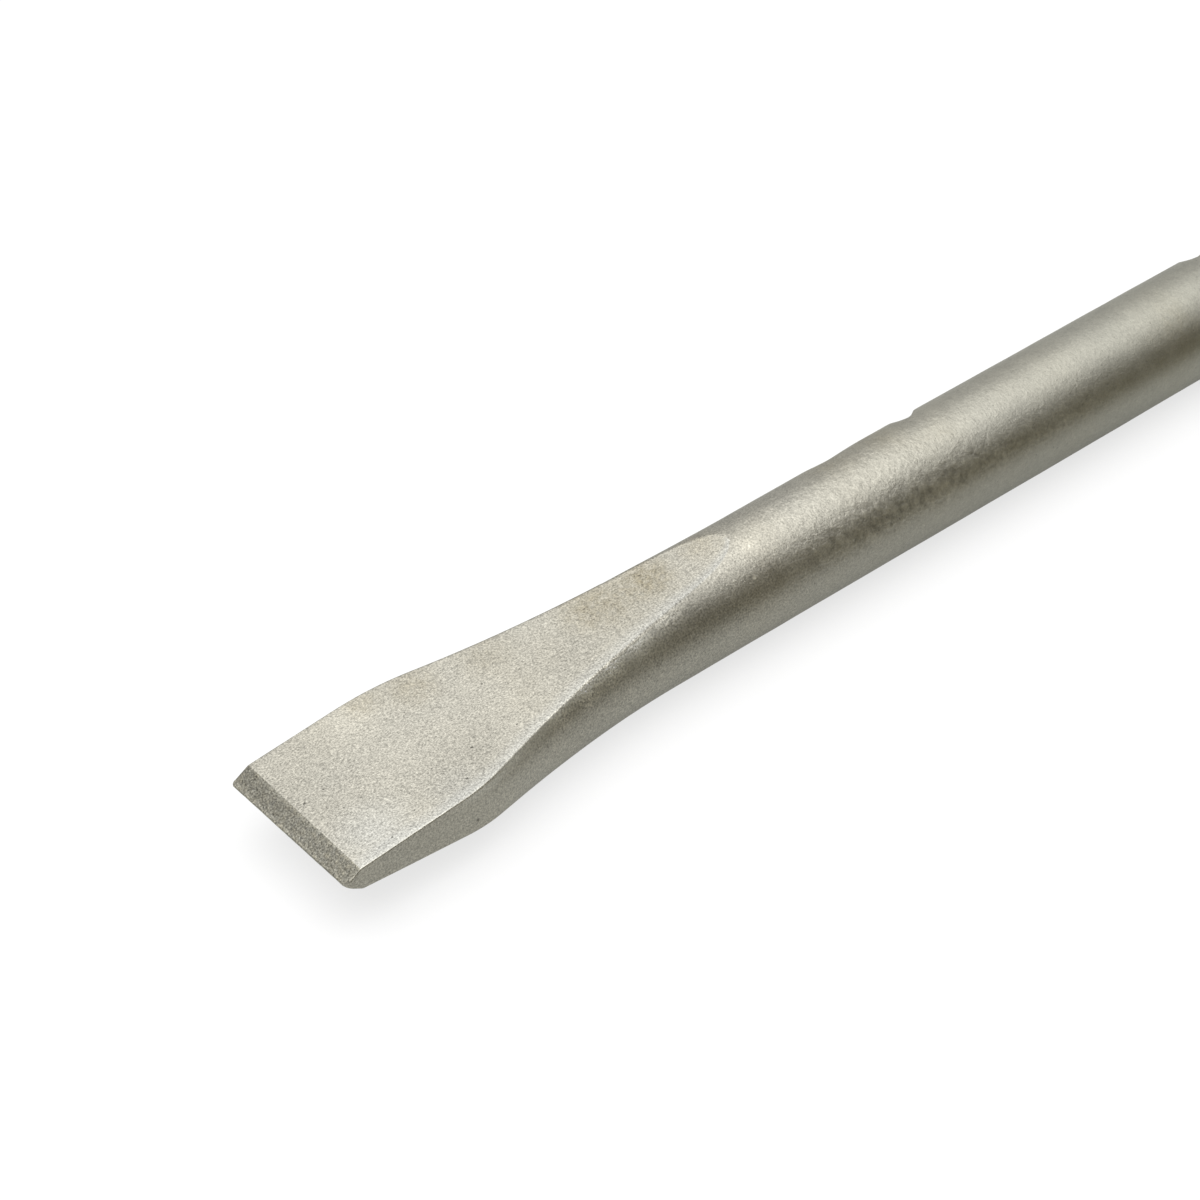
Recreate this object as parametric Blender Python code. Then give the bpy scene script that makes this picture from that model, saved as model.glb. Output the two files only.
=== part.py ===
"""Flat chisel for a rotary hammer, forged in one piece from a round steel bar.

The chisel lies along X, with its cutting edge at the low end and its shank at the high end.
The blade's two flats face up and down, and the bar rests on z = 0.
Sizes are in metres. Distances named "from the edge" run along X from the cutting edge.
"""
import math

import bmesh
import bpy
from mathutils import Matrix, Vector

# The bar
OVERALL_LENGTH = 0.250
BAR_RADIUS = 0.007
BAR_FACETS = 64

# The ground cutting edge
EDGE_LAND = 0.0003
EDGE_SKEW = math.radians(0.9)
BEVEL_LENGTH = 0.0023
BEVEL_HEEL_THICKNESS = 0.00287

# The two forged flats, which taper towards the cutting edge and run out in the bar
FLAT_TAPER = math.radians(5.2)
FLAT_RUN_OUT_START = 0.0542
FLAT_RUN_OUT_RADIUS = 0.060
FLAT_RUN_OUT_STEPS = 8

# The blade's sides, which spread from the bar and are trimmed to the blade's width
BLADE_WIDTH = 0.0207
SPREAD_START = 0.0488
SPREAD_RADIUS = 0.117
SPREAD_ANGLE = math.radians(12.2)
NEAR_CORNER_BLEND = 0.0006
FAR_CORNER_BLEND = 0.0012
BLADE_RING_SPACING = 0.0018

# The turned shank
SHANK_RADIUS = 0.005
SHANK_LENGTH = 0.049
SHOULDER_LENGTH = 0.004
END_CHAMFER = 0.0008

# Two drive grooves, open at the shank's end, on the sides that face along Y
DRIVE_GROOVE_WIDTH = 0.003
DRIVE_GROOVE_DEPTH = 0.0019
DRIVE_GROOVE_LENGTH = 0.027
DRIVE_CUTTER_RADIUS = 0.012
DRIVE_RUN_OUT_STEPS = 6

# Two closed locking grooves for the chuck's balls, on the sides that face up and down
LOCK_GROOVE_RADIUS = 0.0035
LOCK_GROOVE_DEPTH = 0.0012
LOCK_GROOVE_LENGTH = 0.021
LOCK_GROOVE_FROM_END = 0.009
LOCK_GROOVE_SIDES = 32
LOCK_GROOVE_END_RINGS = 6

# Marks of the forging tools on the bar's far side, the first a long shallow flattening: start,
# deepest point and end from the edge, depth, and slant from straight across the bar
PRESSED_MARKS = (
    (0.0460, 0.0640, 0.0940, 0.00018, math.radians(31)),
    (0.0754, 0.0800, 0.0845, 0.00025, math.radians(32)),
    (0.0895, 0.0925, 0.0935, 0.00043, math.radians(34)),
    (0.1381, 0.1419, 0.1429, 0.00056, math.radians(40)),
)
MARK_ANGLE = math.radians(44)
MARK_RAMP_STEPS = 4

# How far a cutter stands out of the metal that it cuts
CUTTER_OVERLAP = 0.002


def along(distance):
    """X of a point that lies at this distance from the cutting edge."""
    return distance - OVERALL_LENGTH / 2


def remove_objects():
    for obj in list(bpy.data.objects):
        bpy.data.objects.remove(obj, do_unlink=True)


def blasted_steel():
    material = bpy.data.materials.new("blasted_steel")
    material.use_nodes = True
    shader = material.node_tree.nodes["Principled BSDF"]
    shader.inputs["Base Color"].default_value = (0.48, 0.46, 0.41, 1)
    shader.inputs["Metallic"].default_value = 1.0
    shader.inputs["Roughness"].default_value = 0.45
    return material


def object_from(name, bm):
    bmesh.ops.recalc_face_normals(bm, faces=bm.faces)
    mesh = bpy.data.meshes.new(name)
    bm.to_mesh(mesh)
    bm.free()
    obj = bpy.data.objects.new(name, mesh)
    bpy.context.collection.objects.link(obj)
    return obj


def loft(name, rings):
    """One closed body through rings that have the same number of points."""
    bm = bmesh.new()
    loops = [[bm.verts.new(point) for point in ring] for ring in rings]
    count = len(loops[0])
    for low, high in zip(loops, loops[1:]):
        for i in range(count):
            j = (i + 1) % count
            bm.faces.new((low[i], low[j], high[j], high[i]))
    bm.faces.new(reversed(loops[0]))
    bm.faces.new(loops[-1])
    return object_from(name, bm)


def prism(name, outline, depth):
    """An outline of points, pushed along a vector and centred on where it was drawn."""
    bm = bmesh.new()
    face = bm.faces.new([bm.verts.new(Vector(point) - depth / 2) for point in outline])
    pushed = bmesh.ops.extrude_face_region(bm, geom=[face])
    moved = [item for item in pushed["geom"] if isinstance(item, bmesh.types.BMVert)]
    bmesh.ops.translate(bm, verts=moved, vec=depth)
    return object_from(name, bm)


def cut(body, cutter):
    cutter.hide_render = True
    cutter.display_type = "WIRE"
    modifier = body.modifiers.new(cutter.name, "BOOLEAN")
    modifier.operation = "DIFFERENCE"
    modifier.solver = "EXACT"
    modifier.object = cutter


def turn_about_bar(obj, angle):
    """Turn an object about the bar's axis, positive from +Y towards +Z."""
    centre = Vector((0, 0, BAR_RADIUS))
    turn = Matrix.Translation(centre) @ Matrix.Rotation(angle, 4, "X") @ Matrix.Translation(-centre)
    obj.data.transform(turn)


# The forged blank

def spread(distance):
    """How far each side has moved out where the bar was forged wide: an arc, then a straight."""
    run = max(SPREAD_START - distance, 0)
    slope = math.tan(SPREAD_ANGLE)
    arc_run = slope * SPREAD_RADIUS
    if run < arc_run:
        return run ** 2 / (2 * SPREAD_RADIUS)
    return arc_run ** 2 / (2 * SPREAD_RADIUS) + slope * (run - arc_run)


def trimmed(reach, blend):
    """Limit a side's reach to the blade's width, with a rounded corner where the limit starts."""
    limit = BLADE_WIDTH / 2
    overlap = max(blend - abs(limit - reach), 0)
    return min(limit, reach) - overlap ** 2 / (4 * blend)


def bar_ring(distance, radius):
    """A section of the bar. Its facets touch the true circle, and one of them faces straight down."""
    corner_radius = radius / math.cos(math.pi / BAR_FACETS)
    ring = []
    for i in range(BAR_FACETS):
        angle = (i + 0.5) * 2 * math.pi / BAR_FACETS
        side = 1 if math.cos(angle) > 0 else -1
        blend = FAR_CORNER_BLEND if side > 0 else NEAR_CORNER_BLEND
        reach = trimmed(spread(distance) + corner_radius * abs(math.cos(angle)), blend)
        height = BAR_RADIUS + corner_radius * math.sin(angle)
        ring.append((along(distance), side * reach, height))
    return ring


def skewed(ring):
    """The blade's end as it was ground: the far corner stands furthest forward."""
    slope = math.tan(EDGE_SKEW)
    return [(x + slope * (BLADE_WIDTH / 2 - y), y, z) for x, y, z in ring]


def forged_blank():
    shank_start = OVERALL_LENGTH - SHANK_LENGTH
    ring_count = math.ceil(SPREAD_START / BLADE_RING_SPACING)
    stations = [(SPREAD_START * i / ring_count, BAR_RADIUS) for i in range(ring_count + 1)]
    stations += [
        (shank_start - SHOULDER_LENGTH, BAR_RADIUS),
        (shank_start, SHANK_RADIUS),
        (OVERALL_LENGTH - END_CHAMFER, SHANK_RADIUS),
        (OVERALL_LENGTH, SHANK_RADIUS - END_CHAMFER),
    ]
    rings = [bar_ring(distance, radius) for distance, radius in stations]
    rings[0] = skewed(rings[0])
    return loft("chisel", rings)


# The blade's flats and bevels

def flat_height(distance):
    """Half the blade's thickness at the flats, and their lift where they run out in the bar."""
    taper = BEVEL_HEEL_THICKNESS / 2 + math.tan(FLAT_TAPER) * (distance - BEVEL_LENGTH)
    past = max(distance - FLAT_RUN_OUT_START, 0)
    return taper + past ** 2 / (2 * FLAT_RUN_OUT_RADIUS)


def flat_cutter(name, side):
    """All that lies outside one flat and its bevel, as an outline pushed across the blade."""
    bevel_slope = (BEVEL_HEEL_THICKNESS - EDGE_LAND) / (2 * BEVEL_LENGTH)
    top = BAR_RADIUS + CUTTER_OVERLAP
    profile = [
        (-CUTTER_OVERLAP, EDGE_LAND / 2 - bevel_slope * CUTTER_OVERLAP),
        (BEVEL_LENGTH, flat_height(BEVEL_LENGTH)),
        (FLAT_RUN_OUT_START, flat_height(FLAT_RUN_OUT_START)),
    ]
    step = math.sqrt(2 * FLAT_RUN_OUT_RADIUS * BAR_RADIUS) / FLAT_RUN_OUT_STEPS
    while profile[-1][1] < top:
        distance = profile[-1][0] + step
        profile.append((distance, flat_height(distance)))
    profile.append((-CUTTER_OVERLAP, profile[-1][1]))
    outline = [(along(distance), 0, BAR_RADIUS + side * height) for distance, height in profile]
    return prism(name, outline, Vector((0, BLADE_WIDTH + 2 * CUTTER_OVERLAP, 0)))


# The shank's grooves

def drive_groove_cutter(name, angle):
    """An open groove with a flat floor, which runs out along the arc of its disc cutter."""
    floor = SHANK_RADIUS - DRIVE_GROOVE_DEPTH
    top = SHANK_RADIUS + CUTTER_OVERLAP
    run_out = math.acos(1 - (top - floor) / DRIVE_CUTTER_RADIUS)
    surface_run_out = math.sqrt(2 * DRIVE_CUTTER_RADIUS * DRIVE_GROOVE_DEPTH - DRIVE_GROOVE_DEPTH ** 2)
    floor_end = OVERALL_LENGTH - DRIVE_GROOVE_LENGTH + surface_run_out
    profile = [(OVERALL_LENGTH + CUTTER_OVERLAP, top), (OVERALL_LENGTH + CUTTER_OVERLAP, floor)]
    for i in range(DRIVE_RUN_OUT_STEPS + 1):
        swing = run_out * i / DRIVE_RUN_OUT_STEPS
        distance = floor_end - DRIVE_CUTTER_RADIUS * math.sin(swing)
        profile.append((distance, floor + DRIVE_CUTTER_RADIUS * (1 - math.cos(swing))))
    outline = [(along(distance), height, BAR_RADIUS) for distance, height in profile]
    cutter = prism(name, outline, Vector((0, 0, DRIVE_GROOVE_WIDTH)))
    turn_about_bar(cutter, angle)
    return cutter


def lock_groove_cutter(name, angle):
    """A closed groove, round in section and at both ends, as the chuck's ball fits it."""
    axis_height = SHANK_RADIUS - LOCK_GROOVE_DEPTH + LOCK_GROOVE_RADIUS
    lift = LOCK_GROOVE_RADIUS - LOCK_GROOVE_DEPTH
    end_reach = math.sqrt(LOCK_GROOVE_RADIUS ** 2 - lift ** 2)
    high = OVERALL_LENGTH - LOCK_GROOVE_FROM_END - end_reach
    low = OVERALL_LENGTH - LOCK_GROOVE_FROM_END - LOCK_GROOVE_LENGTH + end_reach
    swings = [math.pi / 2 * (i + 0.5) / LOCK_GROOVE_END_RINGS for i in range(LOCK_GROOVE_END_RINGS)]
    stations = [(low - LOCK_GROOVE_RADIUS * math.cos(swing), math.sin(swing)) for swing in swings]
    stations += [(low, 1), (high, 1)]
    stations += [(high + LOCK_GROOVE_RADIUS * math.cos(swing), math.sin(swing)) for swing in swings[::-1]]
    rings = []
    for distance, share in stations:
        ring = []
        for i in range(LOCK_GROOVE_SIDES):
            turn = 2 * math.pi * i / LOCK_GROOVE_SIDES
            across = LOCK_GROOVE_RADIUS * share * math.sin(turn)
            height = axis_height + LOCK_GROOVE_RADIUS * share * math.cos(turn)
            ring.append((along(distance), height, BAR_RADIUS + across))
        rings.append(ring)
    cutter = loft(name, rings)
    turn_about_bar(cutter, angle)
    return cutter


# The pressed marks

def mark_cutter(name, start, deepest, end, depth, slant):
    """A shallow ramp that sinks from the blade's side and ends in a wall, slanting across the bar."""
    top = BAR_RADIUS + CUTTER_OVERLAP
    profile = [(end, top), (start, top)]
    for i in range(MARK_RAMP_STEPS + 1):
        share = i / MARK_RAMP_STEPS
        sunk = depth * math.sin(math.pi / 2 * share)
        profile.append((start + share * (deepest - start), BAR_RADIUS - sunk))
    profile.append((end, BAR_RADIUS))
    outline = [(along(distance), height, BAR_RADIUS) for distance, height in profile]
    cutter = prism(name, outline, 2 * BAR_RADIUS * Vector((-math.tan(slant), 0, 1)))
    turn_about_bar(cutter, MARK_ANGLE)
    return cutter


def build():
    remove_objects()
    chisel = forged_blank()
    cut(chisel, flat_cutter("upper_flat_cutter", 1))
    cut(chisel, flat_cutter("lower_flat_cutter", -1))
    for i, mark in enumerate(PRESSED_MARKS):
        cut(chisel, mark_cutter(f"mark_cutter_{i + 1}", *mark))
    for i, angle in enumerate((0, math.pi)):
        cut(chisel, drive_groove_cutter(f"drive_groove_cutter_{i + 1}", angle))
    for i, angle in enumerate((math.pi / 2, -math.pi / 2)):
        cut(chisel, lock_groove_cutter(f"lock_groove_cutter_{i + 1}", angle))
    chisel.data.materials.append(blasted_steel())
    chisel.data.shade_smooth()
    chisel.data.set_sharp_from_angle(angle=math.radians(25))


build()
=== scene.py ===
import math

import bmesh
import bpy
from mathutils import Matrix, Vector


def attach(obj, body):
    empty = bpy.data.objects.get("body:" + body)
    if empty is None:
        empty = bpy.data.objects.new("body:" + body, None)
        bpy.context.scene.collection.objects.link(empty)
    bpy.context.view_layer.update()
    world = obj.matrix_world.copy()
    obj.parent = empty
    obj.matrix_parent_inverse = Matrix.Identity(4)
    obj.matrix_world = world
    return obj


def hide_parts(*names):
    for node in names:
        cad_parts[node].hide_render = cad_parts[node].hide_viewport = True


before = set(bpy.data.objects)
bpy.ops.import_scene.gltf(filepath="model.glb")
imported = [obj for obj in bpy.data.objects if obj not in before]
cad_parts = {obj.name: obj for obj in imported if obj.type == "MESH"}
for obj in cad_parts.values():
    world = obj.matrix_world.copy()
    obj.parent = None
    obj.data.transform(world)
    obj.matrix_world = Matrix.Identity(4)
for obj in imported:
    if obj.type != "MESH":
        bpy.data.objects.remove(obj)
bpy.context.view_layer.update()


# The chisel
# A flat chisel for a rotary hammer, of one piece of round tool steel. The blade is forged flat and
# wide while hot, trimmed and ground at its edge, and the shank is turned and grooved for the
# hammer's quick-change chuck. Then the whole piece is hardened and shot-blasted.

# Sizes in metres. Distances "from the edge" run along X from the cutting edge.
OVERALL_LENGTH = 0.250
BAR_RADIUS = 0.007
EDGE_LAND = 0.0003
EDGE_SKEW = math.radians(0.9)
EDGE_NOSE_RADIUS = 0.00018
BEVEL_LENGTH = 0.0023
BEVEL_HEEL_THICKNESS = 0.00287
HEEL_ROUNDING = 0.00012
FLAT_TAPER = math.radians(5.2)
FLAT_RUN_OUT_START = 0.0542
FLAT_RUN_OUT_RADIUS = 0.060
BLADE_WIDTH = 0.0207
SPREAD_START = 0.0488
SPREAD_RADIUS = 0.117
SPREAD_ANGLE = math.radians(12.2)
NEAR_TRIM_BLEND = 0.0006
FAR_TRIM_BLEND = 0.0012
NEAR_TIP_CORNER = 0.0010
FAR_TIP_CORNER = 0.0004
FLAT_EDGE_ROUNDING = 0.00020
RUN_OUT_EDGE_ROUNDING = 0.00020
SHANK_RADIUS = 0.005
SHANK_LENGTH = 0.049
SHOULDER_LENGTH = 0.004
SHOULDER_BLEND = 0.0005
END_CHAMFER = 0.0008
END_CHAMFER_BLEND = 0.0002
DRIVE_GROOVE_WIDTH = 0.003
DRIVE_GROOVE_DEPTH = 0.0019
DRIVE_GROOVE_LENGTH = 0.027
DRIVE_CUTTER_RADIUS = 0.012
GROOVE_EDGE_ROUNDING = 0.0002
LOCK_GROOVE_RADIUS = 0.0035
LOCK_GROOVE_DEPTH = 0.0012
LOCK_GROOVE_LENGTH = 0.021
LOCK_GROOVE_FROM_END = 0.009

# Marks of the forging tools: start, deepest point and end from the edge, depth, and slant
PRESSED_MARKS = (
    (0.0460, 0.0640, 0.0940, 0.00018, math.radians(31)),
    (0.0754, 0.0800, 0.0845, 0.00025, math.radians(32)),
    (0.0895, 0.0928, 0.0935, 0.00047, math.radians(34)),
    (0.1388, 0.1423, 0.1429, 0.00054, math.radians(40)),
)
MARK_ANGLE = math.radians(44)
MARK_BLEND = 0.00008

# Unevenness that the forging left: its depth and length, where it sets in before the turned shank,
# from none to full, and its share on the blade
FORGING_WAVES = 0.00004
FORGING_WAVE_LENGTH = 0.009
FORGED_PART = (0.185, 0.150)
WAVES_ON_BLADE = 0.4

# Small nicks in the cutting edge, and how far behind the edge they end
EDGE_NICKS = 0.00005
EDGE_NICK_LENGTH = 0.0011
EDGE_NICK_REACH = 0.0004

# How closely the surface is drawn: rings of points up to each distance from the edge
RING_RUNS = (
    (0.0002, 6), (0.0020, 12), (0.0026, 8), (0.0480, 110), (0.0620, 40), (0.0750, 26),
    (0.0915, 44), (0.0945, 26), (0.1370, 34), (0.1440, 40), (0.1960, 30), (0.2020, 16), (0.2190, 12),
    (0.2330, 52), (0.2375, 8), (0.2415, 14), (0.2488, 10), (0.2493, 4), (0.2500, 3),
)
# Points from the side's middle to the flat's middle: over a groove, the side, the edge, the flat
GROOVE_POINTS, SIDE_POINTS, EDGE_POINTS, FLAT_POINTS = 12, 12, 6, 18
# How the points over a drive groove are shared out: its floor, fillet, wall and rounded lip
GROOVE_SHARES = (0.0, 0.3, 0.5, 0.75, 1.0)
# How deep a drive groove has sunk where its own section has fully taken over, and the share of its
# points that it holds: all but the last, which stays on the bar
GROOVE_TAKES_OVER = 0.0003
GROOVE_HOLDS = 0.9999
# Where the blade's section goes over into the bar's
BLADE_TO_BAR = (0.0495, 0.0525)
# Angles round the bar, up from its side: the end of the points for a groove before the shank, the
# highest that the edge's points follow the flat, where they rest behind it, and half their width
GROOVE_POINTS_END = math.radians(27)
HIGHEST_CREST = math.radians(84)
RESTING_CREST = math.radians(57)
HALF_CREST = math.radians(3)
# Where the edge's points leave the flat's end for their resting place
CREST_COMES_TO_REST = (0.0620, 0.0750)
# The most that a rounding takes of the height beside it
MOST_ROUNDED = 0.4
# The least reach to divide by, and the least softness of the flat's run-out
LEAST_REACH = 0.0004
LEAST_SOFTNESS = 0.00002
# The least depth that counts as pressed in
LEAST_PRESSED = 0.000001
# The parts of the noise that make unevenness and nicks, from none to full
UNEVEN_RANGE = (0.3, 0.7)
NICK_RANGE = (0.45, 0.8)
# Points nearer than this are one, along the seam and at the cutting edge
SAME_POINT = 0.000002
# Edges sharper than this are drawn sharp
SHARP_EDGE = math.radians(50)
# For the finish: which part of the edge's points belongs to the flat, how soft the flat's border is
# where it runs out, how far the bevel's tone goes past its heel, where the sides were trimmed, from
# none to full, and a distance that keeps the far side out of the near edge's reach
EDGE_ON_FLAT = (0.3, 0.9)
FLAT_BORDER = (-0.0001, 0.0001)
BEVEL_MARGIN = 0.00003
TRIMMED_PART = (0.034, 0.022)
OUT_OF_REACH = 0.01


class Value:
    """A number in a node tree, so that a shape's rule can be written as it is on paper."""

    def __init__(self, tree, socket):
        self.tree = tree
        self.socket = socket

    def __add__(self, other):
        return worked_out(self.tree, "ADD", self, other)

    def __radd__(self, other):
        return worked_out(self.tree, "ADD", other, self)

    def __sub__(self, other):
        return worked_out(self.tree, "SUBTRACT", self, other)

    def __rsub__(self, other):
        return worked_out(self.tree, "SUBTRACT", other, self)

    def __mul__(self, other):
        return worked_out(self.tree, "MULTIPLY", self, other)

    def __rmul__(self, other):
        return worked_out(self.tree, "MULTIPLY", other, self)

    def __truediv__(self, other):
        return worked_out(self.tree, "DIVIDE", self, other)


def worked_out(tree, operation, *values):
    """One step of arithmetic, as a math node."""
    node = tree.nodes.new("ShaderNodeMath")
    node.operation = operation
    for socket, value in zip(node.inputs, values):
        if isinstance(value, Value):
            tree.links.new(value.socket, socket)
        else:
            socket.default_value = value
    return Value(tree, node.outputs[0])


def least(a, b):
    return worked_out(a.tree, "MINIMUM", a, b)


def most(a, b):
    return worked_out(a.tree, "MAXIMUM", a, b)


def root(a):
    return worked_out(a.tree, "SQRT", most(a, 0.0))


def share(value, low, high):
    """How far a value has come from low to high, kept between 0 and 1."""
    node = value.tree.nodes.new("ShaderNodeMapRange")
    node.clamp = True
    for name, figure in (("Value", value), ("From Min", low), ("From Max", high)):
        if isinstance(figure, Value):
            value.tree.links.new(figure.socket, node.inputs[name])
        else:
            node.inputs[name].default_value = figure
    return Value(value.tree, node.outputs[0])


def smooth_share(value, low, high):
    step = share(value, low, high)
    return step * step * (3.0 - 2.0 * step)


def between(a, b, part):
    """From a to b by a part between 0 and 1."""
    return a + (b - a) * part


def eased_least(a, b, blend):
    """The lesser of two, with a soft change from one to the other over the blend."""
    apart = worked_out(a.tree, "ABSOLUTE", a - b)
    overlap = most(blend - apart, 0.0)
    return least(a, b) - overlap * overlap / (4.0 * blend)


def eased_most(a, b, blend):
    apart = worked_out(a.tree, "ABSOLUTE", a - b)
    overlap = most(blend - apart, 0.0)
    return most(a, b) + overlap * overlap / (4.0 * blend)


def round_corner(start, corner, end, part):
    """A point on the curve that rounds a corner, which runs from start to end."""
    return between(between(start, corner, part), between(corner, end, part), part)


def noise(tree, place, size, detail, roughness, seed):
    """Random variation from about 0 to 1 over a piece, with a grain of a given size."""
    node = tree.nodes.new("ShaderNodeTexNoise")
    node.noise_dimensions = "4D"
    node.inputs["Scale"].default_value = 1.0 / size
    node.inputs["Detail"].default_value = detail
    node.inputs["Roughness"].default_value = roughness
    node.inputs["W"].default_value = seed
    tree.links.new(place, node.inputs["Vector"])
    return Value(tree, node.outputs["Fac"])


def combined(tree, *values):
    """A place from its numbers."""
    node = tree.nodes.new("ShaderNodeCombineXYZ")
    for socket, value in zip(node.inputs, values):
        tree.links.new(value.socket, socket)
    return node.outputs[0]


def new_shape_tree(name, sizes):
    """A geometry tree with one named input for each size, and the values that they give."""
    tree = bpy.data.node_groups.new(name, "GeometryNodeTree")
    tree.interface.new_socket("Geometry", in_out="OUTPUT", socket_type="NodeSocketGeometry")
    for label, size in sizes.items():
        socket = tree.interface.new_socket(label, in_out="INPUT", socket_type="NodeSocketFloat")
        socket.default_value = size
    inputs = tree.nodes.new("NodeGroupInput")
    return tree, {label: Value(tree, inputs.outputs[label]) for label in sizes}


def chisel_tree(material):
    """The whole chisel as one sheet of points, bent round the bar by the rules of its making."""
    sizes = {
        "Overall length": OVERALL_LENGTH, "Bar radius": BAR_RADIUS,
        "Edge land": EDGE_LAND, "Edge skew": math.tan(EDGE_SKEW), "Edge nose radius": EDGE_NOSE_RADIUS,
        "Bevel length": BEVEL_LENGTH, "Bevel heel thickness": BEVEL_HEEL_THICKNESS,
        "Heel rounding": HEEL_ROUNDING, "Flat taper": math.tan(FLAT_TAPER),
        "Flat run-out start": FLAT_RUN_OUT_START, "Flat run-out radius": FLAT_RUN_OUT_RADIUS,
        "Blade width": BLADE_WIDTH, "Spread start": SPREAD_START, "Spread radius": SPREAD_RADIUS,
        "Spread slope": math.tan(SPREAD_ANGLE), "Near trim blend": NEAR_TRIM_BLEND,
        "Far trim blend": FAR_TRIM_BLEND, "Near tip corner": NEAR_TIP_CORNER,
        "Far tip corner": FAR_TIP_CORNER, "Flat edge rounding": FLAT_EDGE_ROUNDING,
        "Run-out edge rounding": RUN_OUT_EDGE_ROUNDING,
        "Shank radius": SHANK_RADIUS, "Shank length": SHANK_LENGTH, "Shoulder length": SHOULDER_LENGTH,
        "Shoulder blend": SHOULDER_BLEND, "End chamfer": END_CHAMFER,
        "Drive groove width": DRIVE_GROOVE_WIDTH, "Drive groove depth": DRIVE_GROOVE_DEPTH,
        "Drive groove length": DRIVE_GROOVE_LENGTH, "Drive cutter radius": DRIVE_CUTTER_RADIUS,
        "Groove edge rounding": GROOVE_EDGE_ROUNDING, "Lock groove radius": LOCK_GROOVE_RADIUS,
        "Lock groove depth": LOCK_GROOVE_DEPTH, "Lock groove length": LOCK_GROOVE_LENGTH,
        "Lock groove from end": LOCK_GROOVE_FROM_END, "Forging waves": FORGING_WAVES,
        "Edge nicks": EDGE_NICKS,
    }
    tree, size = new_shape_tree("forged_chisel", sizes)
    length, bar = size["Overall length"], size["Bar radius"]

    # A flat sheet of points: one way along the chisel, the other round it
    rings = sum(count for _, count in RING_RUNS)
    quarter = GROOVE_POINTS + SIDE_POINTS + EDGE_POINTS + FLAT_POINTS
    sheet = tree.nodes.new("GeometryNodeMeshGrid")
    sheet.inputs["Size X"].default_value = rings
    sheet.inputs["Size Y"].default_value = 4
    sheet.inputs["Vertices X"].default_value = rings + 1
    sheet.inputs["Vertices Y"].default_value = 4 * quarter + 1
    place = tree.nodes.new("ShaderNodeSeparateXYZ")
    tree.links.new(tree.nodes.new("GeometryNodeInputPosition").outputs[0], place.inputs[0])
    ring = Value(tree, place.outputs["X"]) + rings / 2
    turn = Value(tree, place.outputs["Y"]) + 2.0

    # The distance of each ring from the cutting edge
    distance, reached, passed = 0.0, 0.0, 0
    for end, count in RING_RUNS:
        distance = share(ring, passed, passed + count) * (end - reached) + distance
        reached, passed = end, passed + count

    # Where a point lies in its quarter, from the side's middle, and which quarter that is
    part = worked_out(tree, "PINGPONG", turn, 1.0)
    far = worked_out(tree, "LESS_THAN", worked_out(tree, "PINGPONG", turn, 2.0), 1.0)
    side = far * 2.0 - 1.0
    up = worked_out(tree, "LESS_THAN", turn, 2.0) * 2.0 - 1.0
    groove_part = share(part, 0.0, GROOVE_POINTS / quarter)
    side_part = share(part, GROOVE_POINTS / quarter, (GROOVE_POINTS + SIDE_POINTS) / quarter)
    edge_part = share(part, (GROOVE_POINTS + SIDE_POINTS) / quarter, 1 - FLAT_POINTS / quarter)
    flat_part = share(part, 1 - FLAT_POINTS / quarter, 1.0)

    # The bar, its shoulder, the thinner shank and the chamfer at its end
    shank_start = length - size["Shank length"]
    shoulder_start = shank_start - size["Shoulder length"]
    shank = share(distance, shoulder_start, shank_start)
    cone = bar - (bar - size["Shank radius"]) * (distance - shoulder_start) / size["Shoulder length"]
    radius = eased_most(eased_least(cone, bar, size["Shoulder blend"]), size["Shank radius"],
                        size["Shoulder blend"])
    chamfer = size["Shank radius"] + length - size["End chamfer"] - distance
    radius = eased_least(radius, chamfer, END_CHAMFER_BLEND)

    # The flats' height over the bar's axis: ground nose, bevel, taper and run-out
    heel = size["Bevel heel thickness"] / 2.0
    bevel_slope = (heel - size["Edge land"] / 2.0) / size["Bevel length"]
    bevel = size["Edge land"] / 2.0 + bevel_slope * distance
    nose = root(2.0 * size["Edge nose radius"] * distance) + bevel_slope * distance
    past = most(distance - size["Flat run-out start"], 0.0)
    flat = heel + size["Flat taper"] * (distance - size["Bevel length"])
    flat = flat + past * past / (2.0 * size["Flat run-out radius"])
    flat = least(eased_least(bevel, flat, size["Heel rounding"]), nose)

    # How far each side was spread, and the width that it was trimmed to
    run = most(size["Spread start"] - distance, 0.0)
    arc_run = least(run, size["Spread slope"] * size["Spread radius"])
    spread = arc_run * arc_run / (2.0 * size["Spread radius"])
    spread = spread + size["Spread slope"] * (run - arc_run)
    corner = between(size["Near tip corner"], size["Far tip corner"], far)
    corner_run = most(corner - distance, 0.0)
    width = size["Blade width"] / 2.0 - corner + root(corner * corner - corner_run * corner_run)
    trim_blend = between(size["Near trim blend"], size["Far trim blend"], far)

    def side_reach(angle):
        """How far the side stands out from the bar's axis at an angle round the bar."""
        reach = spread + radius * worked_out(tree, "COSINE", angle)
        return eased_least(reach, width, trim_blend)

    def angle_at(height):
        return worked_out(tree, "ARCSINE", least(height / radius, 1.0))

    # The section of the blade: its side, the rounded edge of the flat, and the flat
    rounding = least(size["Flat edge rounding"], flat * MOST_ROUNDED)
    edge_angle = angle_at(flat - rounding)
    blade_angle = edge_angle * (groove_part * GROOVE_POINTS + side_part * SIDE_POINTS)
    blade_angle = blade_angle / (GROOVE_POINTS + SIDE_POINTS)
    edge_reach = side_reach(angle_at(flat))
    blade_y = round_corner(side_reach(blade_angle), edge_reach, edge_reach - rounding, edge_part)
    blade_y = blade_y * (1.0 - flat_part)
    side_z = radius * worked_out(tree, "SINE", blade_angle)
    blade_z = round_corner(side_z, flat, flat, edge_part)

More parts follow.
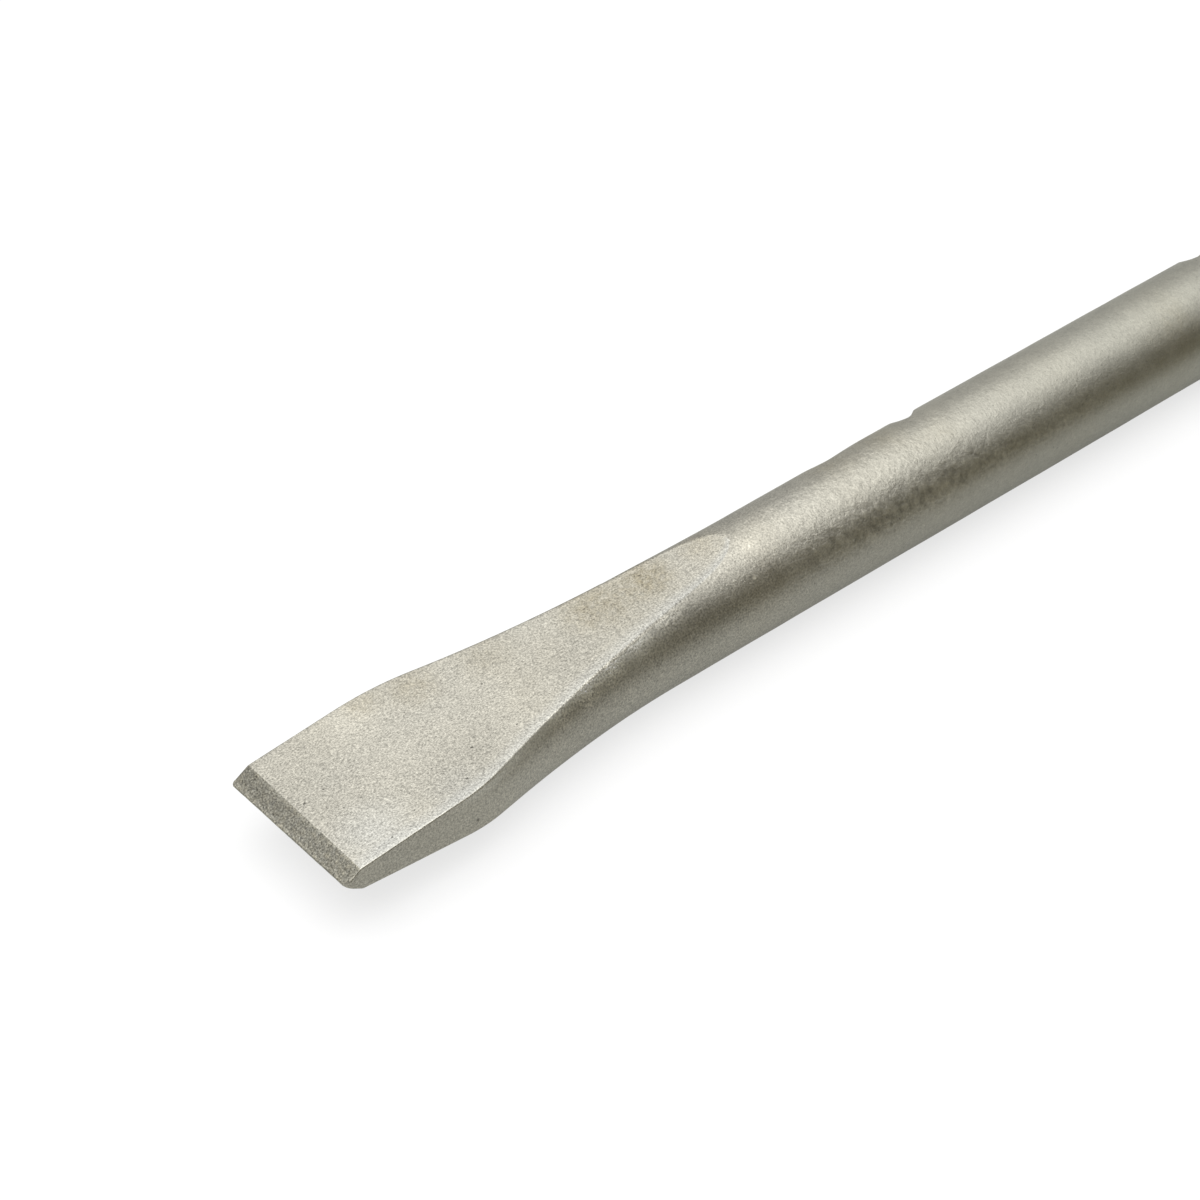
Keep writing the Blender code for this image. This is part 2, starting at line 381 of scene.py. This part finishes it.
    # The drive grooves' flat floor, which runs out along the arc of the disc cutter
    depth, cutter = size["Drive groove depth"], size["Drive cutter radius"]
    floor_end = length - size["Drive groove length"] + root(2.0 * cutter * depth - depth * depth)
    arc = most(floor_end - distance, 0.0)
    half_width = size["Drive groove width"] / 2.0
    wall_y = root(radius * radius - half_width * half_width)
    floor_y = size["Shank radius"] - depth + cutter - root(cutter * cutter - arc * arc)
    sunk = most(wall_y - floor_y, 0.0)
    soft = least(size["Groove edge rounding"], sunk * MOST_ROUNDED)
    lip_z = half_width + soft
    lip_y = root(radius * radius - lip_z * lip_z)

    # The section of the round bar. Its points keep to the flat's edge until the flat has run out
    groove_angle = worked_out(tree, "ARCSINE", lip_z / radius)
    groove_angle = between(GROOVE_POINTS_END, groove_angle, shank)
    crest = least(angle_at(flat), HIGHEST_CREST)
    crest = between(crest, RESTING_CREST, smooth_share(distance, *CREST_COMES_TO_REST))
    side_angle, top_angle = crest - HALF_CREST, crest + HALF_CREST
    bar_angle = groove_angle * groove_part + (side_angle - groove_angle) * side_part
    bar_angle = bar_angle + 2 * HALF_CREST * edge_part + (math.pi / 2 - top_angle) * flat_part
    bar_y = radius * worked_out(tree, "COSINE", bar_angle)
    round_z = radius * worked_out(tree, "SINE", bar_angle)
    from_crest = (round_z - flat) * radius / most(bar_y, LEAST_REACH)
    softness = most(size["Run-out edge rounding"] * bar_y / radius, LEAST_SOFTNESS)
    bar_z = eased_least(round_z, flat, softness)

    # The blade goes over into the bar
    into_bar = smooth_share(distance, *BLADE_TO_BAR)
    y = between(blade_y, bar_y, into_bar)
    z = between(blade_z, bar_z, into_bar)

    # The locking grooves, round in section and at their ends
    lock = size["Lock groove radius"]
    lock_axis = size["Shank radius"] - size["Lock groove depth"] + lock
    lift = lock - size["Lock groove depth"]
    end_reach = root(lock * lock - lift * lift)
    lock_high = length - size["Lock groove from end"] - end_reach
    lock_low = length - size["Lock groove from end"] - size["Lock groove length"] + end_reach
    beyond = most(most(lock_low - distance, distance - lock_high), 0.0)
    floor = lock_axis - root(lock * lock - y * y - beyond * beyond)
    z = eased_least(z, floor, size["Groove edge rounding"])

    # The drive grooves' floor, fillet, wall and rounded lip
    across, fillet, wall, lip = [share(groove_part, low, high)
                                 for low, high in zip(GROOVE_SHARES, GROOVE_SHARES[1:])]
    groove_z = round_corner((half_width - soft) * across, half_width, half_width, fillet)
    groove_z = groove_z + soft * lip * lip
    groove_y = round_corner(floor_y, floor_y, floor_y + soft, fillet)
    groove_y = between(groove_y, wall_y - soft, wall)
    groove_y = round_corner(groove_y, wall_y, lip_y, lip)
    in_groove = share(sunk, 0.0, GROOVE_TAKES_OVER)
    in_groove = in_groove * worked_out(tree, "LESS_THAN", groove_part, GROOVE_HOLDS)
    y = between(y, groove_y, in_groove)
    z = between(z, groove_z, in_groove)

    # The marks of the forging tools, pressed in on a slant from the far side
    y = y * side
    z = z * up
    out_y, out_z = math.cos(MARK_ANGLE), math.sin(MARK_ANGLE)
    for start, deepest, end, mark_depth, slant in PRESSED_MARKS:
        outward = y * out_y + z * out_z
        along_mark = distance + math.tan(slant) * (z * out_y - y * out_z)
        ramp = worked_out(tree, "SINE", share(along_mark, start, deepest) * (math.pi / 2))
        pressed = ramp * (1.0 - share(along_mark, deepest, end)) * mark_depth
        overlap = outward - eased_least(outward, bar - pressed, MARK_BLEND)
        inside = worked_out(tree, "GREATER_THAN", pressed, LEAST_PRESSED)
        y = y - overlap * out_y * inside
        z = z - overlap * out_z * inside

    # The forging left it a little uneven, up to the turned shank
    spot = combined(tree, distance, y, z)
    uneven = share(noise(tree, spot, FORGING_WAVE_LENGTH, 1.0, 0.5, 7.0), *UNEVEN_RANGE)
    uneven = uneven * size["Forging waves"] / bar * share(distance, *FORGED_PART)
    uneven = uneven * between(WAVES_ON_BLADE, 1.0, into_bar)
    y = y * (1.0 - uneven)
    z = z * (1.0 - uneven)

    # The cutting edge is ground a little out of square, and has small nicks from use
    ground = 1.0 - share(distance, 0.0, size["Bevel length"])
    x = distance - length / 2.0 + size["Edge skew"] * (size["Blade width"] / 2.0 - y) * ground
    nicked = noise(tree, combined(tree, y), EDGE_NICK_LENGTH, 2.0, 0.7, 8.0)
    nicked = share(nicked, *NICK_RANGE)
    x = x + nicked * size["Edge nicks"] * share(distance, EDGE_NICK_REACH, 0.0)

    # What the finish has to know of each point
    on_flat = between(share(edge_part, *EDGE_ON_FLAT), share(from_crest, *FLAT_BORDER), into_bar)
    on_bevel = worked_out(tree, "LESS_THAN", distance, size["Bevel length"] + BEVEL_MARGIN)
    on_bevel = on_flat * on_bevel
    upper_flat = on_flat * worked_out(tree, "GREATER_THAN", up, 0.0) * (1.0 - on_bevel)
    on_blade = most(blade_y * side + edge_reach, 0.0) - (flat - blade_z)
    on_bar = most(from_crest, round_z - flat) + far * OUT_OF_REACH
    from_near_edge = between(on_blade, on_bar, into_bar)
    trimmed_side = (1.0 - on_flat) * share(distance, *TRIMMED_PART)
    points = sheet.outputs["Mesh"]
    for label, value in (("ground_bevel", on_bevel), ("upper_flat", upper_flat),
                         ("from_near_edge", from_near_edge), ("trimmed_side", trimmed_side)):
        store = tree.nodes.new("GeometryNodeStoreNamedAttribute")
        store.inputs["Name"].default_value = label
        tree.links.new(value.socket, store.inputs["Value"])
        tree.links.new(points, store.inputs["Geometry"])
        points = store.outputs["Geometry"]

    # Put each point in its place, and close the sheet along its seam and at the edge
    bent = tree.nodes.new("GeometryNodeSetPosition")
    tree.links.new(points, bent.inputs["Geometry"])
    tree.links.new(combined(tree, x, y, z + bar), bent.inputs["Position"])
    closed = tree.nodes.new("GeometryNodeMergeByDistance")
    closed.inputs["Distance"].default_value = SAME_POINT
    tree.links.new(bent.outputs[0], closed.inputs["Geometry"])
    smooth = tree.nodes.new("GeometryNodeSetShadeSmooth")
    tree.links.new(closed.outputs[0], smooth.inputs["Geometry"])
    real = tree.nodes.new("GeometryNodeRealizeInstances")
    tree.links.new(smooth.outputs[0], real.inputs[0])
    finish = tree.nodes.new("GeometryNodeSetMaterial")
    finish.inputs["Material"].default_value = material
    tree.links.new(real.outputs[0], finish.inputs["Geometry"])
    output = tree.nodes.new("NodeGroupOutput")
    tree.links.new(finish.outputs[0], output.inputs[0])
    return tree, sizes


def shaped(name, tree, sizes):
    """The plain mesh that a shape tree makes, as an object at the origin."""
    blank = bpy.data.objects.new("blank", bpy.data.meshes.new("blank"))
    bpy.context.collection.objects.link(blank)
    modifier = blank.modifiers.new("shape", "NODES")
    modifier.node_group = tree
    for item in tree.interface.items_tree:
        if item.in_out == "INPUT" and item.name in sizes:
            modifier[item.identifier] = sizes[item.name]
    bpy.context.view_layer.update()
    evaluated = blank.evaluated_get(bpy.context.evaluated_depsgraph_get())
    mesh = bpy.data.meshes.new_from_object(evaluated)
    mesh.name = name
    bpy.data.objects.remove(blank, do_unlink=True)
    piece = bpy.data.objects.new(name, mesh)
    bpy.context.collection.objects.link(piece)
    return piece


# The steel's finish: dull warm grey, with the fine dimples that the shot left, and a little tan
# scale that it missed. Some light and shade is painted into its colour as well: glints and glitter,
# sheens on the near side, shade over its near edge and a lighter band on the bar. Sizes are in
# metres, and places are from the edge and across the blade.
STEEL_COLOUR = (0.478, 0.459, 0.397)
STEEL_ROUGHNESS = 0.50
DIMPLE_SIZE = 0.00021
DIMPLE_DEPTH = 0.000024
SOFT_GRAIN_SIZE = 0.00050
PATCH_SIZE = 0.0024
PATCH_DEPTH = 0.000016
MOTTLE_SIZE = 0.0009
MOTTLE_DEPTH = 0.00008
WAVE_SIZE = 0.009
BROKEN_SCALE_SIZE = 0.0009
BROKEN_SCALE_RANGE = (0.35, 0.62)
PIT_DEPTH = 0.00007
DARK_DOT_DEPTH = 0.00001
# Small dots: spacing, radius, and the share of the places that have one
DARK_DOTS = (0.0007, 0.00012, 0.35)
BRIGHT_DOTS = (0.0005, 0.00010, 0.16)
SCALE_DOTS = (0.00045, 0.00018, 0.5)
SPECKS = (0.00024, 0.00008, 0.2)

# Where the tone changes along the chisel, from none to full, by distance from the edge
HAMMERED_FROM = (0.090, 0.050)
SMOOTHER_FROM = (0.060, 0.130)
LOWER_SIDE_FROM = (0.015, 0.024)
EDGE_LINE_FROM = (0.016, 0.022)
STRIP_DEEPENS = (0.034, 0.042)
# Bands along the chisel: start, where it is full, where that ends, and end
STRIP_ALONG = (0.0150, 0.0210, 0.0430, 0.0500)
SHADED_EDGE_ALONG = (0.030, 0.038, 0.050, 0.056)
DARK_BAND_ALONG = (0.062, 0.076, 0.106, 0.122)
ROLLED_ALONG = (0.055, 0.070, 0.084, 0.105)
# Heights over the floor, and how far out on the near side
UPPER_HALF = (0.0070, 0.0080)
LOWER_SIDE_HEIGHTS = (0.0085, 0.0055)
DARK_BAND_HEIGHTS = (0.0080, 0.0094, 0.0112, 0.0126)
NEAR_SIDE = (-0.001, -0.003)
# Distances in from the upper flat's near edge, where those below the edge are negative
PALE_BORDER = (0.0018, 0.0)
EDGE_LINE_ACROSS = (-0.00018, -0.00005, 0.00018, 0.00032)
SHADED_EDGE_ACROSS = (-0.00018, -0.00005, 0.00004, 0.00020)
# The strip of painted sheen under that edge: how deep it reaches near the tip and further back,
# where it is full, and its upper border, with how much lower that border lies further back
STRIP_DEPTHS = (0.00135, 0.0029)
STRIP_FULL = -0.0003
STRIP_BORDER = (-0.00002, -0.00015)
STRIP_BORDER_LOWERED = (-0.00010, -0.00020)

# The ground bevel's tone, and where it gets lighter: across towards its near end, and in a line
# along the cutting edge
BEVEL_TONE = 0.55
BEVEL_NEAR_END = (0.010, -0.010)
BEVEL_EDGE_LINE = (0.0006, 0.0001)
# How warmth and the smoother bar tint red, green and blue, and the least that each may be
WARM_TINT = (-0.05, -0.12, -0.27)
BAR_TINT = (0.0, 0.020, 0.015)
DARKEST = 0.02

# Small pits on the upper flat and the near side: distance from the edge, across, height, radius
PITS = (
    (0.0207, -0.0049, 0.0101, 0.00019), (0.0176, -0.0081, 0.0098, 0.00021),
    (0.0170, -0.0103, 0.0058, 0.00032), (0.0034, 0.0014, 0.0085, 0.00022),
    (0.0060, 0.0016, 0.0088, 0.00016), (0.0072, -0.0091, 0.0089, 0.00016),
    (0.0271, 0.0018, 0.0107, 0.00015), (0.0261, -0.0057, 0.0106, 0.00015),
)
# Tan scale that the shot missed, on the upper flat and twice faintly on the bar: distance from the
# edge, across, height, radius, strength
TAN_SCALE = (
    (0.0497, 0.0015, 0.0127, 0.0048, 1.0), (0.0574, 0.0016, 0.0135, 0.0038, 0.45),
    (0.0430, 0.0022, 0.0122, 0.0060, 0.75), (0.0162, 0.0090, 0.0097, 0.0034, 0.45),
    (0.0215, 0.0068, 0.0100, 0.0045, 0.45), (0.0300, 0.0050, 0.0110, 0.0050, 0.3),
    (0.0780, 0.0028, 0.0134, 0.0050, 0.3), (0.0850, 0.0028, 0.0134, 0.0050, 0.4),
)
# Where the upper flat is a little darker or lighter: the same, with a change of tone
TONE_PATCHES = (
    (0.0165, -0.0075, 0.0098, 0.0085, -0.11), (0.0215, -0.0050, 0.0102, 0.0060, -0.07),
    (0.0030, 0.0020, 0.0087, 0.0125, -0.09), (0.0140, 0.0085, 0.0096, 0.0060, 0.14),
    (0.0360, -0.0020, 0.0116, 0.0070, -0.10), (0.0450, -0.0012, 0.0124, 0.0055, -0.09),
)
# Where it is paler and cooler: the same
PALE_PATCHES = ((0.0065, -0.0072, 0.0088, 0.0065, 0.8), (0.0160, -0.0095, 0.0098, 0.0050, 0.4))
# Faint rubbed lines on the upper flat: middle from the edge and across, half length, half width,
# turn from along the blade, and change of tone
RUBBED_LINES = (
    (0.0069, -0.0034, 0.0024, 0.00016, math.radians(-43), 0.13),
    (0.0070, -0.0083, 0.0020, 0.00016, math.radians(-31), 0.11),
    (0.0078, -0.0019, 0.0010, 0.00014, math.radians(3), 0.10),
    (0.0087, -0.0045, 0.0014, 0.00012, math.radians(-48), -0.25),
)
# Painted glints on the bar behind the blade: distance from the edge, across, height, radius, strength
PAINTED_GLINTS = (
    (0.0613, -0.0026, 0.0135, 0.0012, 0.16), (0.0613, -0.0026, 0.0135, 0.00028, 0.5),
    (0.0597, -0.0053, 0.0115, 0.00032, 1.0),
)
# Where glitter is painted on the near side, just under the blade's edge: the same
PAINTED_GLITTER = (
    (0.0305, -0.0068, 0.0108, 0.0028, 0.6), (0.0345, -0.0063, 0.0112, 0.0032, 1.0),
    (0.0385, -0.0058, 0.0115, 0.0030, 0.9), (0.0430, -0.0052, 0.0120, 0.0028, 0.6),
    (0.0475, -0.0045, 0.0123, 0.0026, 0.35),
)


def scattered_dots(tree, place, spacing, radius, kept):
    """Small round dots at random places, of which only a share is kept."""
    node = tree.nodes.new("ShaderNodeTexVoronoi")
    node.inputs["Scale"].default_value = 1.0 / spacing
    tree.links.new(place, node.inputs["Vector"])
    channels = tree.nodes.new("ShaderNodeSeparateColor")
    tree.links.new(node.outputs["Color"], channels.inputs[0])
    chosen = worked_out(tree, "LESS_THAN", Value(tree, channels.outputs[0]), kept)
    size = radius / spacing * (0.5 + Value(tree, channels.outputs[1]))
    return chosen * smooth_share(Value(tree, node.outputs["Distance"]), size, 0.0)


def round_spot(tree, place, centre, radius):
    """1 at a centre, falling softly to 0 at a radius."""
    node = tree.nodes.new("ShaderNodeVectorMath")
    node.operation = "DISTANCE"
    node.inputs[1].default_value = centre
    tree.links.new(place, node.inputs[0])
    return smooth_share(Value(tree, node.outputs["Value"]), radius, 0.0)


def rubbed_line(x, y, middle_x, middle_y, half_length, half_width, turn):
    """A faint straight line with soft ends, drawn across the flat."""
    lengthwise = (x - middle_x) * math.cos(turn) + (y - middle_y) * math.sin(turn)
    sideways = (y - middle_y) * math.cos(turn) - (x - middle_x) * math.sin(turn)
    lengthwise, sideways = lengthwise / half_length, sideways / half_width
    return smooth_share(root(lengthwise * lengthwise + sideways * sideways), 1.0, 0.0)


def spots(tree, place, marks):
    """The sum of round spots, each with a place, a radius and perhaps a strength."""
    total = 0.0
    for distance, across, height, radius, *strength in marks:
        centre = (distance - OVERALL_LENGTH / 2, across, height)
        total = round_spot(tree, place, centre, radius) * (strength or [1.0])[0] + total
    return total


def band(value, start, full, full_end, end):
    """1 over a stretch of a value, with a soft start and a soft end."""
    return share(value, start, full) * share(value, end, full_end)


def stored(tree, label):
    """What the shape tree stored for each point."""
    node = tree.nodes.new("ShaderNodeAttribute")
    node.attribute_name = label
    return Value(tree, node.outputs["Fac"])


steel = bpy.data.materials.new("shot_blasted_steel")
steel.use_nodes = True
tree = steel.node_tree
shader = tree.nodes["Principled BSDF"]
place = tree.nodes.new("ShaderNodeTexCoord").outputs["Object"]
apart = tree.nodes.new("ShaderNodeSeparateXYZ")
tree.links.new(place, apart.inputs[0])
x, y, z = (Value(tree, output) for output in apart.outputs)
from_edge = x + OVERALL_LENGTH / 2
bevel, upper_flat = stored(tree, "ground_bevel"), stored(tree, "upper_flat")
from_near_edge, trimmed_side = stored(tree, "from_near_edge"), stored(tree, "trimmed_side")

# The grain is sharpest on the hammered blade and softer on the bar
dimples = noise(tree, place, DIMPLE_SIZE, 1.0, 0.5, 1.0) - 0.5
soft_grain = noise(tree, place, SOFT_GRAIN_SIZE, 1.0, 0.5, 5.0) - 0.5
patches = noise(tree, place, PATCH_SIZE, 2.0, 0.5, 2.0) - 0.5
waves = noise(tree, place, WAVE_SIZE, 1.0, 0.5, 3.0) - 0.5
dark_dots = scattered_dots(tree, place, *DARK_DOTS)
bright_dots = scattered_dots(tree, place, *BRIGHT_DOTS)
mottle = noise(tree, place, MOTTLE_SIZE, 1.0, 0.5, 6.0) - 0.5
hammered = share(from_edge, *HAMMERED_FROM)
smoother = share(from_edge, *SMOOTHER_FROM)

# Pits, rubbed lines and tan scale, the paler border of the upper flat, and where glitter is painted
pits = spots(tree, place, PITS)
lines = 0.0
for middle, across, half_length, half_width, turn, strength in RUBBED_LINES:
    line = rubbed_line(from_edge, y, middle, across, half_length, half_width, turn)
    lines = line * strength + lines
broken = share(noise(tree, place, BROKEN_SCALE_SIZE, 3.0, 0.65, 4.0), *BROKEN_SCALE_RANGE)
scale = spots(tree, place, TAN_SCALE) * between(0.35, 1.0, broken)
scale = least(scale + share(waves, 0.08, 0.3) * broken * 0.25, 1.0)
scale_dots = scattered_dots(tree, place, *SCALE_DOTS)
pale = share(from_near_edge, *PALE_BORDER) + spots(tree, place, PALE_PATCHES)
pale = least(pale, 1.0) * upper_flat
painted_glitter = least(spots(tree, place, PAINTED_GLITTER), 1.0) * (1.0 - upper_flat)
specks = scattered_dots(tree, place, *SPECKS)

# A strip of painted sheen, paler and cooler, runs along the side just under the upper flat's near edge
upper_half = share(z, *UPPER_HALF)
shaded_edge_begins = share(from_edge, *SHADED_EDGE_ALONG[:2])
strip_depth = between(*STRIP_DEPTHS, share(from_edge, *STRIP_DEEPENS))
border_start, border_full = [shaded_edge_begins * lowered + border
                             for lowered, border in zip(STRIP_BORDER_LOWERED, STRIP_BORDER)]
painted_sheen_under_edge = share(from_near_edge, strip_depth * -1.0, STRIP_FULL)
painted_sheen_under_edge = painted_sheen_under_edge * share(from_near_edge, border_start, border_full)
painted_sheen_under_edge = painted_sheen_under_edge * upper_half * band(from_edge, *STRIP_ALONG)

# Painted shade dims the near edge's highlight. Further back that goes for the underside's near edge
# too
shaded_edge_line = band(from_near_edge, *EDGE_LINE_ACROSS) * share(from_edge, *EDGE_LINE_FROM) * upper_half
shaded_edges_further_back = band(from_near_edge, *SHADED_EDGE_ACROSS) * band(from_edge, *SHADED_EDGE_ALONG)

# The blade's sides are painted lighter low down. The mottle that rolling left on the bar is painted
# stronger in the band where the bar mirrors the dark cloth, and that band is painted lighter
lower_side_light = share(z, *LOWER_SIDE_HEIGHTS) * hammered * share(from_edge, *LOWER_SIDE_FROM)
dark_band = band(z, *DARK_BAND_HEIGHTS) * share(y, *NEAR_SIDE) * band(from_edge, *DARK_BAND_ALONG)
rolled = band(from_edge, *ROLLED_ALONG)

# How much each of them changes the tone of the bare steel
tone = 1.0 + dimples * between(between(0.55, 0.35, smoother), 1.6, hammered)
tone = tone + soft_grain * between(0.25, 0.15, hammered) + mottle * (0.15 - 0.15 * hammered)
# Painted light: the band where the bar mirrors the dark cloth is lighter, with its mottle stronger
tone = tone + (mottle * rolled * 1.1 + soft_grain * 0.6 + 0.12) * dark_band
tone = tone + (lines + spots(tree, place, TONE_PATCHES)) * upper_flat
# Painted here: a sheen under the edge, light low on the sides, and shade over the edge's highlight
for layer, strength in ((patches, 0.16), (waves, 0.10), (dark_dots, -0.35), (bright_dots, 0.25),
                        (trimmed_side, 0.13), (pale, 0.03), (painted_sheen_under_edge, 0.52), (lower_side_light, 0.12),
                        (scale, -0.20), (scale_dots * scale, -0.34), (shaded_edge_line, -0.08),
                        (shaded_edges_further_back, -0.30)):
    tone = tone + layer * strength
# The pits are darker, and glints are painted on the bar
tone = tone * (1.0 - least(pits * 1.3, 1.0) * 0.6) + spots(tree, place, PAINTED_GLINTS)
# Painted glitter: bright specks and a lighter tone on the near side under the blade's edge
tone = tone + painted_glitter * (specks * 2.2 + dimples * 3.0 + 0.42)
ground = BEVEL_TONE + dimples * 0.7 + specks * 0.45 + share(y, *BEVEL_NEAR_END) * 0.16
ground = ground + share(from_edge, *BEVEL_EDGE_LINE) * 0.40
tone = tone * between(1.0, ground, bevel)
warm = scale * 0.9 + waves * 0.25 - pale * 0.42 + bevel * (0.2 + soft_grain * 0.9)
# The painted sheen under the edge is cooler as well
warm = warm - painted_sheen_under_edge * 0.45
colour = tree.nodes.new("ShaderNodeCombineColor")
for socket, amount, warmer, on_bar in zip(colour.inputs, STEEL_COLOUR, WARM_TINT, BAR_TINT):
    channel = tone * amount * (1.0 + warm * warmer + (smoother + bevel * 0.6) * on_bar)
    tree.links.new(most(channel, DARKEST).socket, socket)
tree.links.new(colour.outputs[0], shader.inputs["Base Color"])

roughness = STEEL_ROUGHNESS + patches * 0.10 + scale * 0.10 + bevel * 0.05
tree.links.new(roughness.socket, shader.inputs["Roughness"])
shader.inputs["Metallic"].default_value = 1.0

# The relief: dimples and grain, patches, the rolled bar's mottle, pits and dots
deeper = between(between(1.5, 0.8, smoother), 1.0, hammered) + painted_glitter * 1.5
height = (dimples + soft_grain) * DIMPLE_DEPTH * deeper
height = height + patches * PATCH_DEPTH + mottle * MOTTLE_DEPTH * between(0.12, 1.0, rolled)
height = height - pits * PIT_DEPTH - dark_dots * DARK_DOT_DEPTH
relief = tree.nodes.new("ShaderNodeBump")
relief.inputs["Strength"].default_value = 1.0
relief.inputs["Distance"].default_value = 1.0
tree.links.new(height.socket, relief.inputs["Height"])
tree.links.new(relief.outputs[0], shader.inputs["Normal"])

# The finished piece, with the shank's end closed
chisel = shaped("forged_chisel", *chisel_tree(steel))
bm = bmesh.new()
bm.from_mesh(chisel.data)
bmesh.ops.holes_fill(bm, edges=bm.edges, sides=0)
bmesh.ops.recalc_face_normals(bm, faces=bm.faces)
bm.to_mesh(chisel.data)
bm.free()
chisel.data.set_sharp_from_angle(angle=SHARP_EDGE)
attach(chisel, "root")
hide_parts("chisel")


# The floor
# A plain pale sheet under the chisel. It is white to the camera, and keeps the chisel's shadow.
FLOOR_COLOUR = (0.28, 0.28, 0.28, 1)
GLOW_SEEN = 0.72
GLOW_MIRRORED = 0.27
MIRRORED_TINT_LOSS = (0.035, 0.0, 0.03)
FLOOR_WIDTH = 6
bpy.ops.mesh.primitive_plane_add(size=FLOOR_WIDTH, location=(0, 0, 0))
floor_sheet = bpy.context.object
floor_sheet.name = "floor_sheet"
paper = bpy.data.materials.new("white_paper")
paper.use_nodes = True
nodes, links = paper.node_tree.nodes, paper.node_tree.links
nodes.clear()
diffuse = nodes.new("ShaderNodeBsdfDiffuse")
diffuse.inputs["Color"].default_value = FLOOR_COLOUR
glow = nodes.new("ShaderNodeEmission")
path = nodes.new("ShaderNodeLightPath")
seen = Value(paper.node_tree, path.outputs["Is Camera Ray"])
mirrored = most(Value(paper.node_tree, path.outputs["Is Glossy Ray"]),
                Value(paper.node_tree, path.outputs["Is Transmission Ray"]))
strength = seen * GLOW_SEEN + mirrored * GLOW_MIRRORED
links.new(strength.socket, glow.inputs["Strength"])
tint = nodes.new("ShaderNodeCombineColor")
for socket, loss in zip(tint.inputs, MIRRORED_TINT_LOSS):
    links.new((1.0 - mirrored * loss).socket, socket)
links.new(tint.outputs[0], glow.inputs["Color"])
both = nodes.new("ShaderNodeAddShader")
links.new(diffuse.outputs[0], both.inputs[0])
links.new(glow.outputs[0], both.inputs[1])
out = nodes.new("ShaderNodeOutputMaterial")
links.new(both.outputs[0], out.inputs["Surface"])
floor_sheet.data.materials.append(paper)


# The studio
# One broad soft lamp hangs over the blade in an evenly lit pale room. A dark cloth lies and hangs
# on the near side, behind the camera: it makes the dark band along the bar.
LAMP_PLACE = (-0.095, 0.045, 0.60)
LAMP_RADIUS = 0.53
LAMP_POWER = 5.35
ROOM_LIGHT = 0.42
CLOTH_START = ((-2.0, 0.039), (-0.05, 0.039), (0.01, 0.030), (2.0, 0.030))
CLOTH_DISTANCE = 0.60
CLOTH_HEIGHT = 0.62
CLOTH_OVER_FLOOR = 0.0005
CLOTH_COLOUR = (0.095, 0.072, 0.005, 1)

lamp_data = bpy.data.lights.new("overhead_lamp", "AREA")
lamp_data.shape = "DISK"
lamp_data.size = 2 * LAMP_RADIUS
lamp_data.energy = LAMP_POWER
lamp = bpy.data.objects.new("overhead_lamp", lamp_data)
lamp.location = LAMP_PLACE
bpy.context.collection.objects.link(lamp)

cloth_mesh = bpy.data.meshes.new("dark_cloth")
corners = [(along, -start, CLOTH_OVER_FLOOR) for along, start in CLOTH_START]
corners += [(along, -CLOTH_DISTANCE, CLOTH_OVER_FLOOR) for along, _ in CLOTH_START]
corners += [(along, -CLOTH_DISTANCE, CLOTH_HEIGHT) for along, _ in CLOTH_START]
columns = len(CLOTH_START)
sheets = [(n, n + 1, n + 1 + columns, n + columns)
          for row in (0, columns) for n in range(row, row + columns - 1)]
cloth_mesh.from_pydata(corners, [], sheets)
dark_cloth = bpy.data.objects.new("dark_cloth", cloth_mesh)
bpy.context.collection.objects.link(dark_cloth)
cloth = bpy.data.materials.new("dark_cloth")
cloth.use_nodes = True
cloth_shader = cloth.node_tree.nodes["Principled BSDF"]
cloth_shader.inputs["Base Color"].default_value = CLOTH_COLOUR
cloth_shader.inputs["Roughness"].default_value = 1.0
cloth_mesh.materials.append(cloth)
dark_cloth.visible_camera = False
dark_cloth.visible_diffuse = False
dark_cloth.visible_shadow = False

world = bpy.data.worlds.new("pale_room")
bpy.context.scene.world = world
world.use_nodes = True
room = world.node_tree.nodes["Background"]
room.inputs["Color"].default_value = (1, 1, 1, 1)
room.inputs["Strength"].default_value = ROOM_LIGHT


# The camera
# It looks down on the blade from in front and the near side, as the photograph does.
CAMERA_PLACE = (-0.228165, -0.197639, 0.222402)
CAMERA_AZIMUTH = math.radians(-36.342)
CAMERA_ELEVATION = math.radians(40.215)
CAMERA_ROLL = math.radians(-3.828)
CAMERA_LENS = 89.08
camera_data = bpy.data.cameras.new("camera")
camera_data.lens = CAMERA_LENS
camera_data.sensor_width = 36
camera_data.clip_start = 0.01
camera = bpy.data.objects.new("camera", camera_data)
bpy.context.collection.objects.link(camera)
right = Vector((math.cos(CAMERA_AZIMUTH), math.sin(CAMERA_AZIMUTH), 0))
back = Vector((math.sin(CAMERA_AZIMUTH) * math.cos(CAMERA_ELEVATION),
               -math.cos(CAMERA_AZIMUTH) * math.cos(CAMERA_ELEVATION), math.sin(CAMERA_ELEVATION)))
upward = right.cross(-back)
rolled_right = math.cos(CAMERA_ROLL) * right + math.sin(CAMERA_ROLL) * upward
rolled_up = -math.sin(CAMERA_ROLL) * right + math.cos(CAMERA_ROLL) * upward
camera.rotation_euler = Matrix((rolled_right, rolled_up, back)).transposed().to_euler()
camera.location = CAMERA_PLACE
bpy.context.scene.camera = camera
bpy.context.scene.view_settings.view_transform = "Standard"
